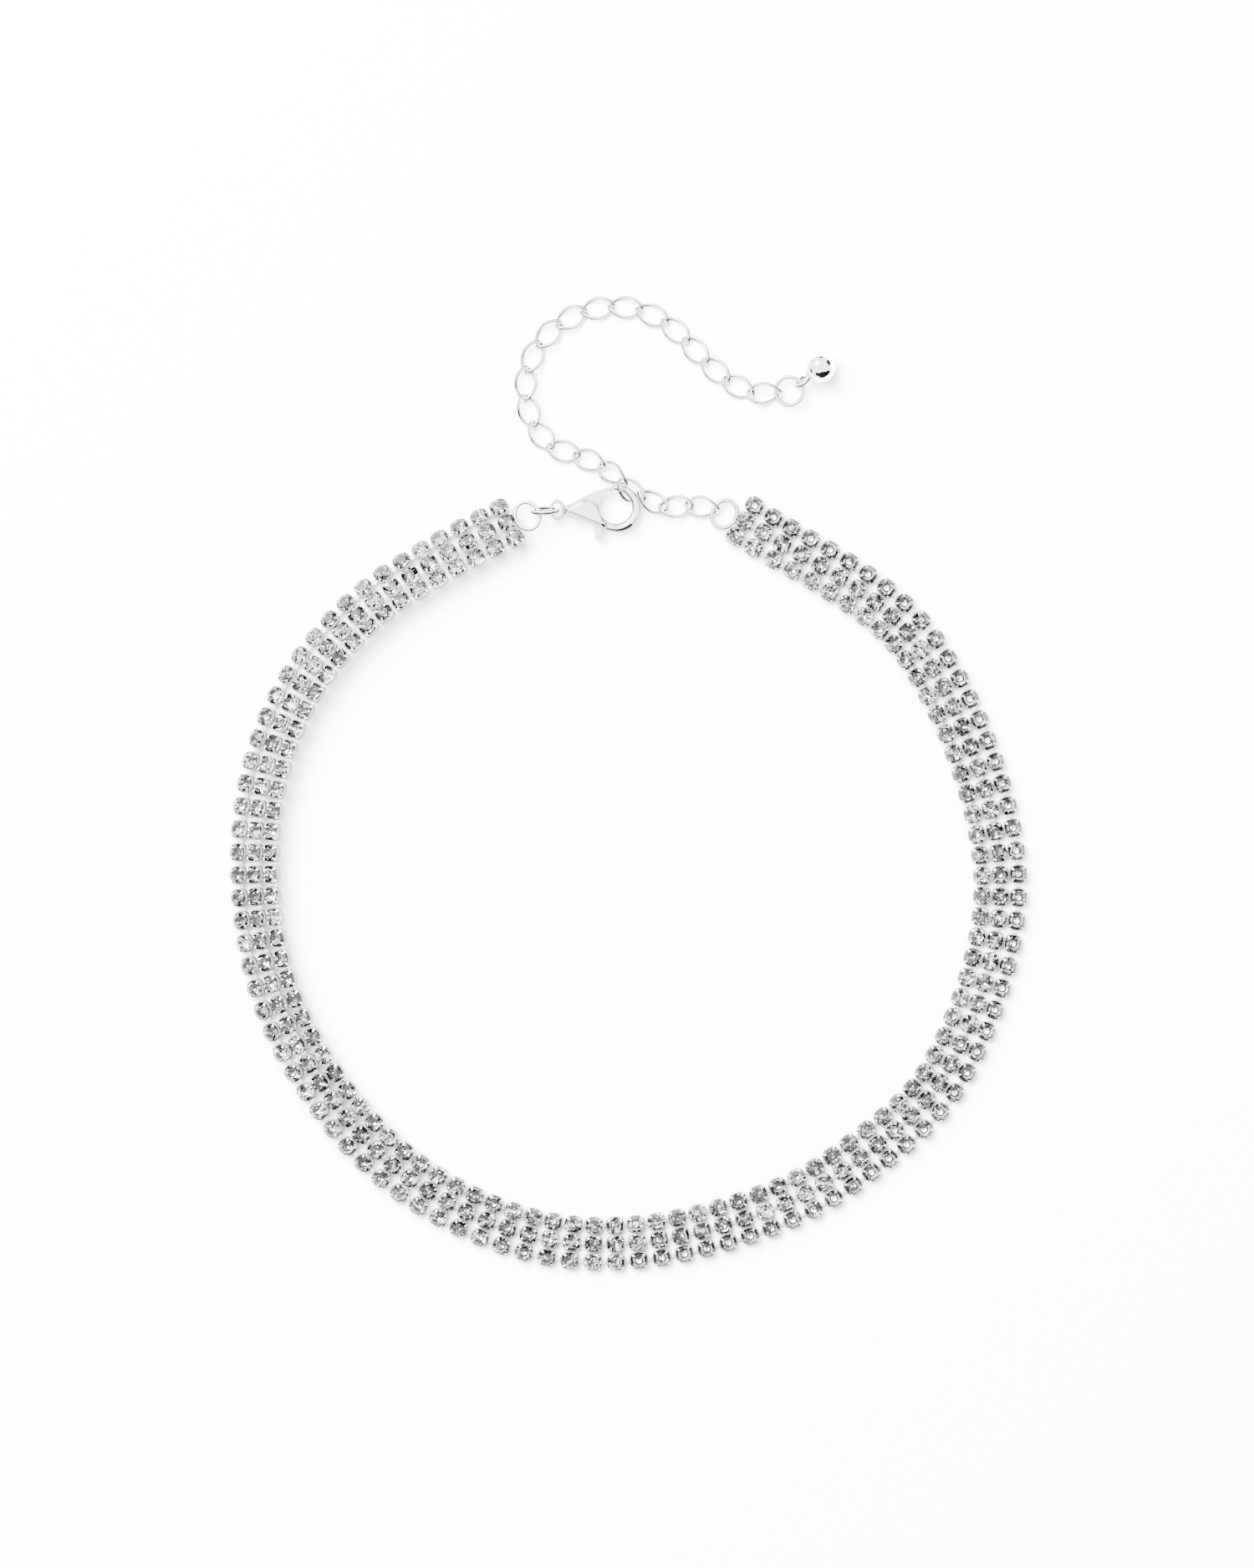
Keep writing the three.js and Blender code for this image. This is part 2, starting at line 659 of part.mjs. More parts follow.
const group = new THREE.Group();
const rightHalf = bandHalf(firstHalf, secondHalf[0]);
const leftHalf = bandHalf(secondHalf, null);
group.add(node("band_right", withEndRing(rightHalf, rightFrame, -1, rightRingSlide), crystal()));
group.add(node("band_left", withEndRing(leftHalf, leftFrame, 1, leftRingSlide), crystal()));
group.add(node("jump_ring", jumpRing, silver()));
const clasp = new THREE.Group();
clasp.applyMatrix4(claspFrame);
clasp.add(node("clasp_body", claspBody(), silver()));
clasp.add(node("clasp_lever", claspLever(), silver()));
group.add(clasp);
links.forEach((geometry, i) => {
  group.add(node(`chain_link_${String(i + 1).padStart(2, "0")}`, geometry, silver()));
});
group.add(node("drop_ring", dropRing, silver()));
group.add(node("ball_drop", ballDrop(), silver()));

// The part's own origin: the middle of its box, on the table
const box = new THREE.Box3().setFromObject(group);
group.position.set(-(box.min.x + box.max.x) / 2, -(box.min.y + box.max.y) / 2, -box.min.z);

export default group;
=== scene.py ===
# The looks of a rhinestone choker: detailed claw cups, cut stones, chain, clasp and ball drop
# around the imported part. Shapes are drawn in millimetres and scaled when a piece is finished.

import json
import math
import random

import bmesh
import bpy
import numpy
from mathutils import Matrix, Vector


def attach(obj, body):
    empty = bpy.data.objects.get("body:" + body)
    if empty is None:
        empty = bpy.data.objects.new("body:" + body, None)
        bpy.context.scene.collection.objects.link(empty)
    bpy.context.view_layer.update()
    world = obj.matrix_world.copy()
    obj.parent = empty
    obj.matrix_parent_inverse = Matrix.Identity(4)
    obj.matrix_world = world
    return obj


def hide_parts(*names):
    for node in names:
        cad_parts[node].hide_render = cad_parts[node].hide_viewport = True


millimetre = 0.001
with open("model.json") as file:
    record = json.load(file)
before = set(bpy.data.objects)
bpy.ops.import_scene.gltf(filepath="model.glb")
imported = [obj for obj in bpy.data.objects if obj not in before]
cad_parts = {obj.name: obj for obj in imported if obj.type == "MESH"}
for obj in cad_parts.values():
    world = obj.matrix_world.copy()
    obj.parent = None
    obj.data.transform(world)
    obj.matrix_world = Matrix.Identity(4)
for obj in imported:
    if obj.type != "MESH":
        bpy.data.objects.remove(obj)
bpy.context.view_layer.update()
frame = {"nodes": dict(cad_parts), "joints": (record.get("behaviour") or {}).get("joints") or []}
print("frame loaded")


# Finishes
def newFinish(name):
    finish = bpy.data.materials.new(name)
    finish.use_nodes = True
    return finish, finish.node_tree.nodes, finish.node_tree.links


silverLook = {
    "colour": (0.98, 0.98, 0.97, 1),
    "shade": (0.88, 0.88, 0.87, 1),
    "patchScale": 260,  # slight cloudiness of the plating
    "patchDetail": 3,
    "shadeSpan": (0.5, 0.8),  # stretch of the clouds in which the shade and the gloss change
    "glossSpan": (0.3, 0.7),
    "rippleScale": 900,
    "rippleHeight": 0.04,
    "rippleDepth": 0.02,
}


def silverFinish(name, smooth, rough):
    finish, nodes, links = newFinish(name)
    shader = nodes["Principled BSDF"]
    shader.inputs["Metallic"].default_value = 1
    place = nodes.new("ShaderNodeTexCoord")
    patches = nodes.new("ShaderNodeTexNoise")
    patches.inputs["Scale"].default_value = silverLook["patchScale"]
    patches.inputs["Detail"].default_value = silverLook["patchDetail"]
    links.new(place.outputs["Object"], patches.inputs["Vector"])
    tone = nodes.new("ShaderNodeMix")
    tone.data_type = "RGBA"
    tone.inputs["A"].default_value = silverLook["colour"]
    tone.inputs["B"].default_value = silverLook["shade"]
    spread = nodes.new("ShaderNodeMapRange")
    spread.inputs["From Min"].default_value = silverLook["shadeSpan"][0]
    spread.inputs["From Max"].default_value = silverLook["shadeSpan"][1]
    links.new(patches.outputs["Fac"], spread.inputs["Value"])
    links.new(spread.outputs["Result"], tone.inputs["Factor"])
    # the painted tone: painted shade down the flanks and in the gaps between cups, painted dark
    # reflection lines on the clasp, and the dark seam at its joint
    paintedShadeAndSeam = nodes.new("ShaderNodeAttribute")
    paintedShadeAndSeam.attribute_name = "tone"
    dimmed = nodes.new("ShaderNodeMix")
    dimmed.data_type = "RGBA"
    dimmed.blend_type = "MULTIPLY"
    dimmed.inputs["Factor"].default_value = 1
    links.new(tone.outputs["Result"], dimmed.inputs["A"])
    links.new(paintedShadeAndSeam.outputs["Color"], dimmed.inputs["B"])
    links.new(dimmed.outputs["Result"], shader.inputs["Base Color"])
    gloss = nodes.new("ShaderNodeMapRange")
    gloss.inputs["From Min"].default_value = silverLook["glossSpan"][0]
    gloss.inputs["From Max"].default_value = silverLook["glossSpan"][1]
    gloss.inputs["To Min"].default_value = smooth
    gloss.inputs["To Max"].default_value = rough
    links.new(patches.outputs["Fac"], gloss.inputs["Value"])
    links.new(gloss.outputs["Result"], shader.inputs["Roughness"])
    ripples = nodes.new("ShaderNodeTexNoise")
    ripples.inputs["Scale"].default_value = silverLook["rippleScale"]
    links.new(place.outputs["Object"], ripples.inputs["Vector"])
    relief = nodes.new("ShaderNodeBump")
    relief.inputs["Strength"].default_value = silverLook["rippleHeight"]
    relief.inputs["Distance"].default_value = silverLook["rippleDepth"] * millimetre
    links.new(ripples.outputs["Fac"], relief.inputs["Height"])
    links.new(relief.outputs["Normal"], shader.inputs["Normal"])
    return finish


crystalLook = {"colour": (0.97, 0.975, 0.955, 1), "rough": 0.0, "bending": 1.5}
foilRough = 0.06


def crystalFinish():
    finish, nodes, _ = newFinish("clear crystal")
    shader = nodes["Principled BSDF"]
    shader.inputs["Base Color"].default_value = crystalLook["colour"]
    shader.inputs["Roughness"].default_value = crystalLook["rough"]
    shader.inputs["IOR"].default_value = crystalLook["bending"]
    shader.inputs["Transmission Weight"].default_value = 1
    return finish


def foilFinish():
    finish, nodes, links = newFinish("silver foil back with painted reflections")
    shader = nodes["Principled BSDF"]
    shader.inputs["Metallic"].default_value = 1
    shader.inputs["Roughness"].default_value = foilRough
    # painted reflections: the foil's colour is read facet by facet
    facets = nodes.new("ShaderNodeAttribute")
    facets.attribute_name = "facetPaintedReflection"
    links.new(facets.outputs["Color"], shader.inputs["Base Color"])
    return finish


wireSilver = silverFinish("silver plated wire", smooth=0.05, rough=0.14)
cupSilver = silverFinish("silver plated claw cups", smooth=0.12, rough=0.24)
clearCrystal = crystalFinish()
paintedReflectionFoil = foilFinish()
print("finishes ready")


# Places of the plain solids
def cornersOf(node):
    corners = {vert.co[:] for vert in frame["nodes"][node].data.vertices}
    return numpy.array(sorted(corners)) / millimetre


def middleOf(node):
    return Vector(cornersOf(node).mean(axis=0))


def linkSeat(node):
    # a link's own axes: its corners spread farthest along X and least along Z
    spread = numpy.cov(cornersOf(node).T)
    thin, _, lengthways = numpy.linalg.eigh(spread)[1].T
    if thin[2] < 0:
        thin = -thin
    basis = Matrix((lengthways, numpy.cross(thin, lengthways), thin)).transposed().to_4x4()
    return Matrix.Translation(middleOf(node)) @ basis


# Helpers for shapes
def finishPiece(name, shape, finishes, body, nodes, sharpAngle=32):
    bmesh.ops.scale(shape, vec=(millimetre,) * 3, verts=shape.verts)
    mesh = bpy.data.meshes.new(name)
    shape.to_mesh(mesh)
    shape.free()
    for finish in finishes:
        mesh.materials.append(finish)
    mesh.shade_smooth()
    mesh.set_sharp_from_angle(angle=math.radians(sharpAngle))
    piece = bpy.data.objects.new(name, mesh)
    bpy.context.collection.objects.link(piece)
    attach(piece, body)
    if nodes:
        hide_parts(*nodes)
    return piece


def stamp(shape, pattern, matrix):
    # adds a copy of a small pattern mesh, put in place by a matrix
    copy = pattern.copy()
    copy.transform(matrix)
    shape.from_mesh(copy)
    bpy.data.meshes.remove(copy)


def patternFrom(shape, name):
    mesh = bpy.data.meshes.new(name)
    shape.to_mesh(mesh)
    shape.free()
    return mesh


def placed(place, heading, nose=0, lean=0):
    turn = Matrix.Rotation(math.radians(heading), 4, "Z")
    pitch = Matrix.Rotation(-math.radians(nose), 4, "Y")
    return Matrix.Translation(place) @ turn @ pitch @ Matrix.Rotation(math.radians(lean), 4, "X")


def paint(verts, layer, tone):
    for vert in verts:
        vert[layer] = (tone, tone, tone, 1)


# painted shade on the wires' flanks: share of the wire's half width where it begins, and the tone
# at the very side
flankShade = {"from": 0.22, "dimmest": 0.03}


def wireLoop(length, width, wire, twist=0, segments=48, sides=16):
    # a torus spun from a circle, then pulled into an oval whose two ends are twisted apart
    shape = bmesh.new()
    tones = shape.verts.layers.float_color.new("tone")
    reach, across = (length - wire) / 2, (width - wire) / 2
    step = 1e-3  # in radians, for the wire's direction
    start = Matrix.Translation((reach, 0, 0)) @ Matrix.Rotation(math.radians(90), 4, "X")
    bmesh.ops.create_circle(shape, segments=sides, radius=wire / 2, matrix=start)
    bmesh.ops.spin(
        shape, geom=shape.edges[:], cent=(0, 0, 0), axis=(0, 0, 1), angle=2 * math.pi,
        steps=segments, use_merge=True, use_duplicate=False,
    )

    def middle(t):
        turn = math.radians(twist) * math.cos(t)
        side = across * math.sin(t)
        return Vector((reach * math.cos(t), side * math.cos(turn), side * math.sin(turn)))

    for vert in shape.verts:
        t = math.atan2(vert.co.y, vert.co.x)
        out, rise = math.hypot(vert.co.x, vert.co.y) - reach, vert.co.z
        turn = math.radians(twist) * math.cos(t)
        face = Vector((0, -math.sin(turn), math.cos(turn)))
        along = (middle(t + step) - middle(t - step)).normalized()
        outwards = along.cross(face).normalized()
        top = outwards.cross(along).normalized()
        vert.co = middle(t) + outwards * out + top * rise
        # painted shade: the tone darkens from the wire's top towards its sides
        flankShadeShare = max(0, abs(out) / (wire / 2) - flankShade["from"]) / (1 - flankShade["from"])
        paint([vert], tones, 1 - (1 - flankShade["dimmest"]) * flankShadeShare)
    bmesh.ops.recalc_face_normals(shape, faces=shape.faces)
    return shape


# The band's path
band = {
    # the loop's centre, seen from the part's origin: numbers from a run of the part's source
    "shift": (0.19243, -13.30199, 0.00086),
    "radius": 52.3,
    "columns": 96,
    "rows": 3,
    "pitch": 2.58,
    # angle clockwise from the top, share of the radius, roll in degrees
    "route": (
        (17.9, 1.012, 0), (21, 1.0, 0), (50, 1.0, 0), (90, 1.0, 0), (122, 1.002, 0),
        (140, 0.979, 0), (155, 0.973, 0), (178, 0.983, 0), (196, 1.001, 0), (218, 1.003, 4),
        (240, 0.996, 15), (258, 1.0, 23), (280, 1.011, 25), (298, 1.021, 25), (315, 1.011, 24),
        (331, 0.995, 20), (341, 1.007, 15),
    ),
    "steps": 1200,
    "nudge": 1e-4,  # share of the route, for the band's direction
}


def routeKnots():
    knots = []
    for angle, reach, roll in band["route"]:
        turn = math.radians(angle)
        knots.append(Vector((math.sin(turn), math.cos(turn), 0)) * band["radius"] * reach)
    return [2 * knots[0] - knots[1]] + knots + [2 * knots[-1] - knots[-2]]


def routePoint(knots, t):
    # centripetal Catmull-Rom through the knots, t from 0 to 1
    spans = len(knots) - 3
    i = min(int(t * spans), spans - 1)
    w = t * spans - i
    a, b, c, d = knots[i:i + 4]
    ab, bc, cd = (math.sqrt((q - p).length) for p, q in ((a, b), (b, c), (c, d)))
    startPull = ((b - a) / ab - (c - a) / (ab + bc) + (c - b) / bc) * bc
    endPull = ((c - b) / bc - (d - b) / (bc + cd) + (d - c) / cd) * bc
    cubic = 2 * b - 2 * c + startPull + endPull
    square = -3 * b + 3 * c - 2 * startPull - endPull
    return b + startPull * w + square * w ** 2 + cubic * w ** 3


def rollAt(point):
    angle = math.degrees(math.atan2(point.x, point.y)) % 360
    rows = band["route"]
    if angle <= rows[0][0]:
        return rows[0][2]
    for before, after in zip(rows, rows[1:]):
        if angle < after[0]:
            share = (angle - before[0]) / (after[0] - before[0])
            return before[2] + (after[2] - before[2]) * share
    return rows[-1][2]


def barFrames():
    # one matrix for each bar of three cups: X along the band, Y outwards, Z out of the stones
    knots = routeKnots()
    steps = band["steps"]
    points = [routePoint(knots, i / steps) for i in range(steps + 1)]
    lengths = [0]
    for p, q in zip(points, points[1:]):
        lengths.append(lengths[-1] + (q - p).length)
    frames = []
    j = 0
    for i in range(band["columns"]):
        target = lengths[-1] * i / (band["columns"] - 1)
        while j < steps - 1 and lengths[j + 1] < target:
            j += 1
        t = (j + (target - lengths[j]) / (lengths[j + 1] - lengths[j])) / steps
        point = routePoint(knots, t)
        ahead, behind = min(1, t + band["nudge"]), max(0, t - band["nudge"])
        along = (routePoint(knots, ahead) - routePoint(knots, behind)).normalized()
        roll = math.radians(rollAt(point))
        outwards = Vector((0, 0, 1)).cross(along)
        across = outwards * math.cos(roll) - Vector((0, 0, 1)) * math.sin(roll)
        facing = along.cross(across)
        lift = band["rows"] * band["pitch"] / 2 * math.sin(roll)
        basis = Matrix((along, across, facing)).transposed().to_4x4()
        place = point + Vector((0, 0, lift)) + Vector(band["shift"])
        frames.append(Matrix.Translation(place) @ basis)
    return frames


bars = barFrames()
half = band["columns"] // 2
halves = {"right": range(half), "left": range(half, band["columns"])}
rowPlaces = [(row - (band["rows"] - 1) / 2) * band["pitch"] for row in range(band["rows"])]

# Claw cups with their prongs, and the small links between them
cup = {
    "sides": 20,
    "squareness": 2.7,  # 2 is round, more is squarer
    "stretch": 1.045,  # along the band
    # width, height and tone of each ring: floor, waist, below the rim, rim, lip, inside the mouth;
    # the low tones are painted shade on the walls, the floor and inside the mouth
    "rings": (
        (2.1, 0.02, 0.1), (2.52, 0.28, 0.16), (2.57, 1.22, 0.06), (2.45, 1.3, 0.88),
        (2.36, 1.32, 0.88), (2.3, 1.1, 0.12),
    ),
}
prong = {
    "count": 4,
    "width": 0.32,
    "thickness": 0.16,
    "reach": 1.25,
    "root": 0.55,
    "knee": 0.985,
    # reach, height, share of the root's size and tilt of each fold, up to the tip
    "folds": ((1.26, 1.3, 0.95, 10), (1.155, 1.58, 0.85, 45), (0.86, 1.74, 0.6, 72)),
    # painted shade: the prongs are dimmed so their highlights stay small
    "tone": 0.8,
}
smallLink = {
    "width": 0.6,
    "height": 0.34,
    "bevel": 0.09,
    "reach": 1,  # from a cup's middle to the link's end inside it
    "rise": 0.04,
    "halvesGap": 0.45,  # left open between the band's two halves
    # painted shade: the links, down in the gaps between cups, are a little darker
    "tone": 0.8,
}


def squared(vert, width, z):
    # moves a vertex of a circle onto a rounded square of that width
    turn = math.atan2(vert.co.y, vert.co.x)
    power = cup["squareness"]
    reach = (abs(math.cos(turn)) ** power + abs(math.sin(turn)) ** power) ** (-1 / power)
    vert.co = Vector((math.cos(turn) * cup["stretch"], math.sin(turn), 0)) * reach * width / 2
    vert.co.z = z


def cupPattern():
    shape = bmesh.new()
    tones = shape.verts.layers.float_color.new("tone")
    sides = cup["sides"]
    ring = bmesh.ops.create_circle(shape, cap_ends=True, segments=sides, radius=1)["verts"]
    edges = list({edge for vert in ring for edge in vert.link_edges})
    for number, (width, height, tone) in enumerate(cup["rings"]):
        if number > 0:
            grown = bmesh.ops.extrude_edge_only(shape, edges=edges)["geom"]
            edges = [item for item in grown if isinstance(item, bmesh.types.BMEdge)]
            ring = {vert for edge in edges for vert in edge.verts}
        for vert in ring:
            squared(vert, width, height)
        paint(ring, tones, tone)
    bmesh.ops.recalc_face_normals(shape, faces=shape.faces)
    for k in range(prong["count"]):
        addProng(shape, Matrix.Rotation(2 * math.pi * (k + 0.5) / prong["count"], 4, "Z"))
    return patternFrom(shape, "claw cup")


def addProng(shape, turn):
    # a claw that climbs the cup's corner and folds over the stone's edge
    blank = bmesh.ops.create_cube(shape, size=1)["verts"]
    faces = {face for vert in blank for face in vert.link_faces}
    top = max(faces, key=lambda face: face.calc_center_median().z)
    halfWidth, halfThick = prong["width"] / 2, prong["thickness"] / 2
    for vert in blank:
        side, out = (1 if vert.co.y > 0 else -1), (1 if vert.co.x > 0 else -1)
        height = prong["root"] if vert.co.z < 0 else prong["knee"]
        vert.co = Vector((prong["reach"] + out * halfThick, side * halfWidth, height))
    made = set(blank)
    for reach, height, share, tilt in prong["folds"]:
        top = bmesh.ops.extrude_discrete_faces(shape, faces=[top])["faces"][0]
        made |= set(top.verts)
        flat, rise = math.cos(math.radians(tilt)), math.sin(math.radians(tilt))
        centre = top.calc_center_median()
        for vert in top.verts:
            side = 1 if vert.co.y > centre.y else -1
            out = 1 if (vert.co.x - centre.x) * flat + (vert.co.z - centre.z) > 0 else -1
            vert.co = Vector((
                reach + out * halfThick * share * flat,
                side * halfWidth * share,
                height + out * halfThick * share * rise,
            ))
    paint(made, shape.verts.layers.float_color["tone"], prong["tone"])
    bmesh.ops.transform(shape, matrix=turn, verts=list(made))


def smallLinkPattern(length):
    shape = bmesh.new()
    bmesh.ops.create_cube(shape, size=1)
    size = (length, smallLink["width"], smallLink["height"])
    bmesh.ops.scale(shape, vec=size, verts=shape.verts)
    bmesh.ops.translate(shape, vec=(0, 0, smallLink["height"] / 2), verts=shape.verts)
    paint(shape.verts, shape.verts.layers.float_color.new("tone"), smallLink["tone"])
    longEdges = [e for e in shape.edges if abs(e.verts[0].co.x - e.verts[1].co.x) > length / 2]
    bmesh.ops.bevel(
        shape, geom=longEdges, offset=smallLink["bevel"], affect="EDGES", segments=2, profile=0.5,
        material=-1,
    )
    return patternFrom(shape, "small link")


def bandCups(columns):
    shape = bmesh.new()
    pattern = cupPattern()
    reach, rise = smallLink["reach"], smallLink["rise"]
    for i in columns:
        for y in rowPlaces:
            stamp(shape, pattern, bars[i] @ Matrix.Translation((0, y, 0)))
        if i + 1 == len(bars):
            continue
        for y in rowPlaces:
            start, end = bars[i] @ Vector((reach, y, rise)), bars[i + 1] @ Vector((-reach, y, rise))
            if i + 1 not in columns:
                end = end + (start - end).normalized() * smallLink["halvesGap"]
            along = (end - start).normalized()
            facing = bars[i].to_3x3() @ Vector((0, 0, 1))
            across = facing.cross(along).normalized()
            basis = Matrix((along, across, along.cross(across))).transposed().to_4x4()
            link = smallLinkPattern((end - start).length)
            stamp(shape, link, Matrix.Translation((start + end) / 2) @ basis)
            bpy.data.meshes.remove(link)
    bpy.data.meshes.remove(pattern)
    return shape


# Cut stones: a clear crown over a foil-backed pavilion, its foil painted with dark and bright
# reflections facet by facet
stone = {
    "facets": 8,  # round the table, with twice as many round the girdle
    "girdle": 1.21,
    "girdleHeight": 1.33,
    "girdleSlack": 0.01,
    "table": 0.68,
    "tableHeight": 1.92,
    "kite": 0.9,
    "kiteHeight": 1.68,
    "pavilionRing": 0.42,
    "pavilionHeight": 0.62,
    "culet": 0.47,
    "wobble": 2.5,  # degrees each stone may sit out of true
    "seed": 7,
    "central": 0.75,  # share of the pavilion ring within which a facet counts as under the table
    # painted reflections in the foil: shares of dark facets under the table and round it, for the
    # flat side's outer row, its other rows and the rolled side
    "paintedDarkShares": {"star": (0.15, 0.84), "flat": (0.63, 0.6), "rolled": (0.66, 0.6)},
    "greyShare": 0.12,
    "bright": (0.94, 1.0),
    "dark": (0.0, 0.05),
    "grey": (0.3, 0.6),
    "warmth": 0.97,
}


def stonePattern():
    # the convex hull of the facets' corners gives every flat facet
    shape = bmesh.new()
    facets, halfFacet = stone["facets"], 180 / stone["facets"]
    rings = (
        (facets, stone["table"], stone["tableHeight"], 0),
        (facets, stone["kite"], stone["kiteHeight"], halfFacet),
        (2 * facets, stone["girdle"], stone["girdleHeight"], 0),
        (facets, stone["pavilionRing"], stone["pavilionHeight"], halfFacet),
    )
    for count, radius, z, turn in rings:
        place = Matrix.Translation((0, 0, z)) @ Matrix.Rotation(math.radians(turn), 4, "Z")
        bmesh.ops.create_circle(shape, segments=count, radius=radius, matrix=place)
    shape.verts.new((0, 0, stone["culet"]))
    for edge in list(shape.edges):
        shape.edges.remove(edge)
    bmesh.ops.convex_hull(shape, input=shape.verts)
    bmesh.ops.recalc_face_normals(shape, faces=shape.faces)
    backHeight = stone["girdleHeight"] - stone["girdleSlack"]
    for face in shape.faces:
        face.material_index = 1 if face.calc_center_median().z < backHeight else 0
    return patternFrom(shape, "cut stone")


def bandStones(side, columns, draws):
    shape = bmesh.new()
    pattern = stonePattern()
    for i in columns:
        for y in rowPlaces:
            turn = Matrix.Rotation(draws.uniform(0, 2 * math.pi), 4, "Z")
            wobble = math.radians(draws.uniform(-1, 1) * stone["wobble"])
            tilt = Matrix.Rotation(wobble, 4, "X")
            centre = Matrix.Translation((0, y, stone["girdleHeight"]))
            seat = Matrix.Translation((0, 0, -stone["girdleHeight"]))
            stamp(shape, pattern, bars[i] @ centre @ tilt @ turn @ seat)
    # painted reflections: each facet of the foil gets a bright, grey or dark tone at random, with
    # shares set by row and side
    tones = shape.loops.layers.float_color.new("facetPaintedReflection")
    middle = stone["pavilionRing"] * stone["central"]
    central = [face.center.xy.length < middle for face in pattern.polygons]
    shape.faces.ensure_lookup_table()
    for number, face in enumerate(shape.faces):
        cut, facet = divmod(number, len(central))
        look = "star" if cut % band["rows"] == band["rows"] - 1 else "flat"
        if side == "left":
            look = "rolled"
        kind = draws.random() - stone["paintedDarkShares"][look][0 if central[facet] else 1]
        level = draws.uniform(*stone["bright"])
        if kind < 0:
            level = draws.uniform(*stone["dark"])
        elif kind < stone["greyShare"]:
            level = draws.uniform(*stone["grey"])
        for loop in face.loops:
            loop[tones] = (level, level, level * stone["warmth"], 1)
    bpy.data.meshes.remove(pattern)
    return shape


# Rings soldered to the band's ends
endRing = {
    "length": 4.0,
    "width": 4.7,
    "wire": 0.6,
    "lift": 0.95,
    "bite": 0.3,
    "slides": {"right": -0.7, "left": -0.4},
}


def addEndRing(shape, bar, way, slide):
    reach = way * (band["pitch"] / 2 + endRing["length"] / 2 - endRing["bite"])
    ring = wireLoop(endRing["length"], endRing["width"], endRing["wire"])
    pattern = patternFrom(ring, "end ring")
    stamp(shape, pattern, bar @ Matrix.Translation((reach, slide, endRing["lift"])))
    bpy.data.meshes.remove(pattern)


draws = random.Random(stone["seed"])
for side, columns in halves.items():
    metal = bandCups(columns)
    endBar, way = (bars[0], -1) if side == "right" else (bars[-1], 1)
    addEndRing(metal, endBar, way, endRing["slides"][side])
    finishPiece("cups_" + side, metal, [cupSilver], "necklace", ["band_" + side])
    stones = bandStones(side, columns, draws)
    looks = [clearCrystal, paintedReflectionFoil]
    cut = finishPiece("stones_" + side, stones, looks, "necklace", [])
    cut.data.shade_flat()
print("band ready")

# Extension chain
chain = {"links": 21, "length": 5.2, "width": 3.35, "wire": 0.5, "twist": 45}

for i in range(chain["links"]):
    number = f"{i + 1:02d}"
    node = "chain_link_" + number
    curb = wireLoop(chain["length"], chain["width"], chain["wire"], chain["twist"])
    bmesh.ops.transform(curb, matrix=linkSeat(node), verts=curb.verts)
    finishPiece("curb_" + number, curb, [wireSilver], "necklace", [node])
print("chain ready")

# Clasp
clasp = {
    "turn": 5,
    "pivot": (-4.309, 0.3015, 0),  # the hinge pin, seen from the middle of the opening
    "weld": 1e-7,  # metres
    "voxel": 0.06,
    "softening": 0.5,
    "bodyRounds": 90,
    "leverRounds": 4,
    # painted shade down the clasp's steep sides: normal heights where it begins and ends, and the
    # darkest tone
    "side": {"steep": 0.45, "flat": 0.97, "dimmest": 0.04},
    "tail": {"from": 36.2, "stretch": 1.25},
    "hook": {
        "inner": 2.36, "outer": 3.35, "offset": (0.25, -0.22), "from": -112, "to": 80, "ease": 8,
        "dome": 0.3, "past": 1.2,
    },
    # painted reflection lines: start and end angle, nearest and farthest reach from the opening's
    # middle
    "paintedReflectionLines": ((-120, -52, 3.14, 4), (62, 104, 2, 2.52)),
    # the seam's tone also colours the painted reflection lines
    "seam": {
        "place": (-2.15, 41.5), "heading": 26.6, "halfWidth": 0.08, "lowest": 40.8, "tone": 0.05,
    },
    "eyeletCut": -7.2,
    "eyelet": {"length": 2.35, "width": 3.0, "wire": 0.5, "reach": -8.2, "rise": 0.3},
}
hinge = Vector(frame["joints"][0]["pos_m"]) / millimetre
claspSeat = placed(hinge, clasp["turn"]) @ Matrix.Translation(-Vector(clasp["pivot"]))


def castPiece(node, name, body, rounds, cut=None):
    # a casting's soft edges: the solid is remeshed finely and smoothed
    shape = bmesh.new()
    shape.from_mesh(frame["nodes"][node].data)
    bmesh.ops.remove_doubles(shape, verts=shape.verts, dist=clasp["weld"])
    bmesh.ops.scale(shape, vec=(1 / millimetre,) * 3, verts=shape.verts)
    if cut is not None:
        everything = shape.verts[:] + shape.edges[:] + shape.faces[:]
        bmesh.ops.bisect_plane(
            shape, geom=everything, plane_co=claspSeat @ Vector((cut, 0, 0)),
            plane_no=claspSeat.to_3x3() @ Vector((1, 0, 0)), clear_inner=True,
        )
        bmesh.ops.holes_fill(shape, edges=shape.edges[:], sides=0)
        bmesh.ops.triangulate(shape, faces=shape.faces[:])
    piece = finishPiece(name, shape, [wireSilver], body, [node])
    remesh = piece.modifiers.new("cast", "REMESH")
    remesh.mode = "VOXEL"
    remesh.voxel_size = clasp["voxel"] * millimetre
    remesh.use_smooth_shade = True
    soften = piece.modifiers.new("soften", "SMOOTH")
    soften.factor = clasp["softening"]
    soften.iterations = rounds
    softened = piece.evaluated_get(bpy.context.evaluated_depsgraph_get())
    cast = bpy.data.meshes.new_from_object(softened)
    piece.modifiers.clear()
    piece.data = cast
    cast.name = name
    paintSideShade(cast)
    return piece


